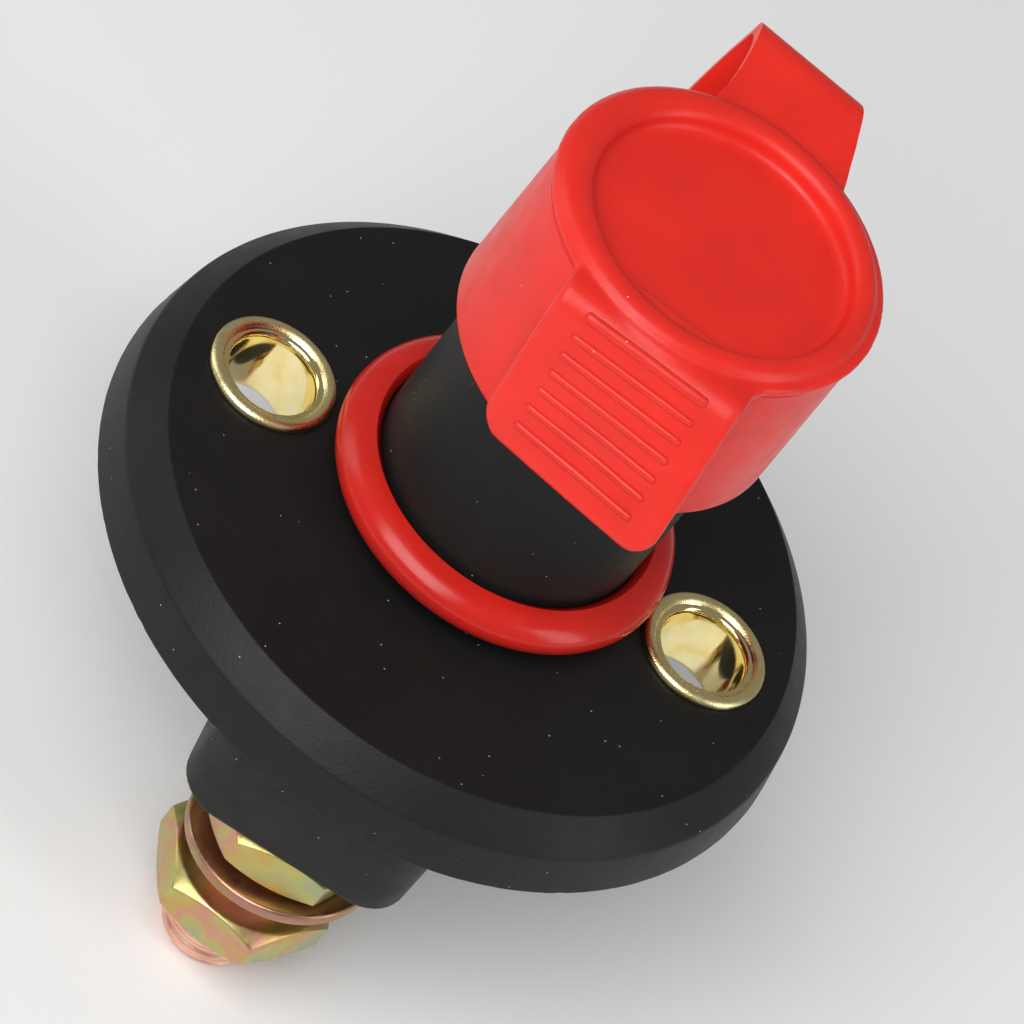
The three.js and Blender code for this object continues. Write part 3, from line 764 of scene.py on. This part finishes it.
def rib(y):
    """A raised grip rib with round ends, laid across the tab's outer face."""
    bpy.ops.object.select_all(action="DESELECT")
    bpy.ops.mesh.primitive_uv_sphere_add(segments=16, ring_count=12, radius=RIB_R * MM)
    piece = bpy.context.object
    for vertex in piece.data.vertices:
        if abs(vertex.co.x) > 1e-8:
            vertex.co.x += math.copysign((RIB_LENGTH / 2 - RIB_R) * MM, vertex.co.x)
    select(piece, "edges", lambda a, b: abs(a.x - b.x) > 3 * MM)
    bpy.ops.mesh.subdivide(number_cuts=6)
    bpy.ops.object.mode_set(mode="OBJECT")
    for vertex in piece.data.vertices:
        x, across, up = vertex.co / MM
        vertex.co = tab_place(x, y + across, TAB_THICK / 2 - 0.06 + up * 0.85)
    return piece


ribs = [rib(-RIB_FIRST - i * RIB_PITCH) for i in range(RIB_COUNT)]
only(cap)
for piece in ribs:
    piece.select_set(True)
bpy.ops.object.join()
aside = Matrix.Translation((CAP_ASIDE * MM, 0, 0))
cap.matrix_world = Matrix.Rotation(math.radians(CAP_TURN), 4, "Z") @ aside
smooth(cap, 34)
cap_red = red_vinyl("cap_vinyl", (0.80, 0.026, 0.016), 0.32, 0.44, True)
fit(cap, cap_red, "cap", "red_soft_plastic", "sealing_cap")

# ---- Tether strap ----
# The flat strap that leaves the cap's brim at the back, folds over and runs down to the ring. It is one soft
# moulding with them.
STRAP_THICK = 1.5
RING_R = 17.5
STRAP_ROUTE = [
    # middle line x, y, z, then width, and turn about the upright axis in degrees
    (1.5, 14.3, 54.25, 15.2, 0), (1.6, 16.2, 54.3, 14.8, 0), (1.7, 17.85, 54.4, 14.2, 0),
    (1.6, 21.5, 55.2, 13.2, -2), (1.15, 24.7, 55.93, 12.6, -4), (0.8, 26.3, 55.2, 12.2, -4.5),
    (0.6, 26.9, 53.2, 12.2, -4.5), (0, 27.1, 48.5, 12.2, -3), (-0.7, 26.9, 42, 12.2, 0),
    (-1.64, 25.3, 32, 12.2, 6), (-2.65, 22.4, 22, 12.2, 12), (-3.15, 19.1, 15.8, 12.2, 16),
    (-3.3, 17.45, 14.15, 12.2, 16), (-3.4, 16.8, 13.3, 12.2, 16),
]


def smooth_line(points, t):
    """A point on the curve that passes through all the points, evenly eased between near and far ones."""
    whole = t * (len(points) - 1)
    i = min(int(whole), len(points) - 2)
    u = whole - i
    b, c = points[i], points[i + 1]
    a = points[i - 1] if i > 0 else b * 2 - c
    d = points[i + 2] if i + 2 < len(points) else c * 2 - b
    t0 = max((b - a).length, 1e-9) ** 0.5
    t1 = max((c - b).length, 1e-9) ** 0.5
    t2 = max((d - c).length, 1e-9) ** 0.5
    m1 = ((b - a) / t0 - (c - a) / (t0 + t1) + (c - b) / t1) * t1
    m2 = ((c - b) / t1 - (d - b) / (t1 + t2) + (d - c) / t2) * t1
    return (b * (2 * u ** 3 - 3 * u ** 2 + 1) + m1 * (u ** 3 - 2 * u ** 2 + u)
            + c * (3 * u ** 2 - 2 * u ** 3) + m2 * (u ** 3 - u ** 2))


route = [Vector(station[:3]) for station in STRAP_ROUTE]
spread_of = [Vector((station[3], station[4], 0)) for station in STRAP_ROUTE]
bpy.ops.object.select_all(action="DESELECT")
bpy.ops.mesh.primitive_grid_add(x_subdivisions=16, y_subdivisions=150, size=1)
strap = bpy.context.object
strap.name = "strap_moulding"
for vertex in strap.data.vertices:
    t = min(max(0.5 - vertex.co.y, 0), 1)
    width, turn, _ = smooth_line(spread_of, t)
    angle = math.radians(CAP_TURN + turn)
    across = Vector((math.cos(angle), math.sin(angle), 0))
    # Towards its lower end the strap cups round the ring.
    x = vertex.co.x * width
    cup = x * x / (2 * RING_R) * min(max((t - 0.8) / 0.15, 0), 1)
    vertex.co = (smooth_line(route, t) + across * x + Vector((across.y, -across.x, 0)) * cup) * MM
wall = strap.modifiers.new("wall", "SOLIDIFY")
wall.thickness = STRAP_THICK * MM
wall.offset = 0
edge = strap.modifiers.new("edge", "BEVEL")
edge.width = 0.45 * MM
edge.segments = 4
edge.limit_method = "ANGLE"
edge.angle_limit = math.radians(50)
settle(strap)
only(strap)
bpy.ops.object.mode_set(mode="EDIT")
bpy.ops.mesh.select_all(action="SELECT")
bpy.ops.mesh.normals_make_consistent(inside=False)
bpy.ops.object.mode_set(mode="OBJECT")
smooth(strap, 50)
strap_red = red_vinyl("strap_vinyl", (0.80, 0.026, 0.016), 0.26, 0.38, False)
fit(strap, strap_red, None, "red_soft_plastic", "tether_strap")
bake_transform(strap)

# ---- Floor, lights and camera ----
# A pale studio floor under the stud ends, large soft lights and one long lens.
bpy.ops.object.select_all(action="DESELECT")
bpy.ops.mesh.primitive_plane_add(size=6, location=(0, 0, STUD_END * MM - 0.0002))
floor = bpy.context.object
floor.name = "studio_floor"
floor_pale = Finish("floor_pale", (0.95, 0.95, 0.95), 0.7)
floor.data.materials.append(floor_pale.material)


def soft_light(name, place, size, power):
    light = bpy.data.lights.new(name, "AREA")
    light.shape = "RECTANGLE"
    light.size, light.size_y = size
    light.energy = power
    lamp = bpy.data.objects.new(name, light)
    bpy.context.scene.collection.objects.link(lamp)
    lamp.location = place
    lamp.rotation_mode = "QUATERNION"
    lamp.rotation_quaternion = (Vector((0, 0, 0.01)) - Vector(place)).to_track_quat("-Z", "Y")


soft_light("key_light", (-0.30, -0.60, 0.75), (0.7, 0.7), 8.5)
soft_light("left_light", (-0.85, 0.15, 0.35), (0.35, 0.7), 1.3)
soft_light("right_light", (0.8, -0.25, 0.4), (0.3, 0.7), 2.0)

world = bpy.data.worlds.new("studio")
bpy.context.scene.world = world
world.use_nodes = True
world.node_tree.nodes["Background"].inputs["Color"].default_value = (1, 1, 1, 1)
world.node_tree.nodes["Background"].inputs["Strength"].default_value = 0.22
bpy.context.scene.view_settings.view_transform = "Standard"

lens = bpy.data.cameras.new("studio_camera")
lens.lens = 258.9
lens.sensor_width = 36
lens.clip_end = 10
camera = bpy.data.objects.new("studio_camera", lens)
bpy.context.scene.collection.objects.link(camera)
camera.matrix_world = Matrix((
    (0.83488, -0.53622, -0.12431, -0.08704),
    (0.30548, 0.63923, -0.70575, -0.50339),
    (0.45790, 0.55124, 0.69748, 0.50761),
    (0, 0, 0, 1),
))
bpy.context.scene.camera = camera
